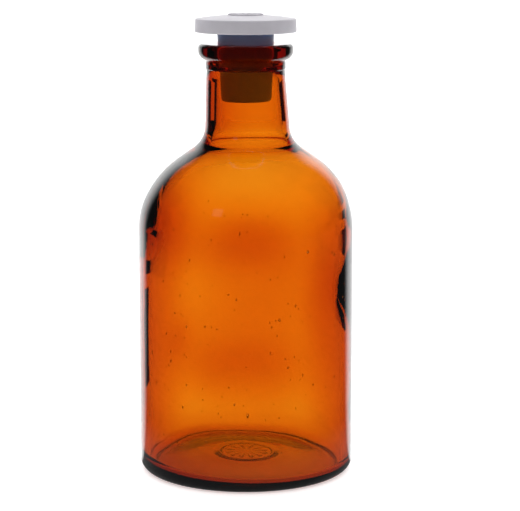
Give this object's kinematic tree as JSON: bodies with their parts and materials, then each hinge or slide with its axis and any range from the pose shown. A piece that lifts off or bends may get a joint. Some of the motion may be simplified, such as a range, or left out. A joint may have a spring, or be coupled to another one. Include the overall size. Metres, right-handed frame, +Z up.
{
  "type": "reagent bottle",
  "caption": "Round narrow-neck glass bottle with a straight body, curved shoulder and thick lip, closed by a hollow tapered plastic stopper with a flat disc head.",
  "frame": {"origin": "centre of the bearing ring under the base, at the level of the surface the bottle stands on", "axes": "+Z up along the bottle's axis, towards the stopper; X and Y are alike, because the bottle is round"},
  "size_m": [0.07, 0.07, 0.1496],
  "materials": {
    "amber_glass": "gloss",
    "blue_plastic": "satin",
    "grey_plastic": "satin"
  },
  "bodies": {
    "bottle": {"glass_bottle": "amber_glass"},
    "stopper": {"stopper_plug": "blue_plastic", "stopper_cap": "grey_plastic"}
  },
  "joints": [
    {"name": "stopper_lift", "type": "slide", "parent": "bottle", "child": "stopper", "axis": [0, 0, 1], "range_m": [0, 0.04]}
  ]
}
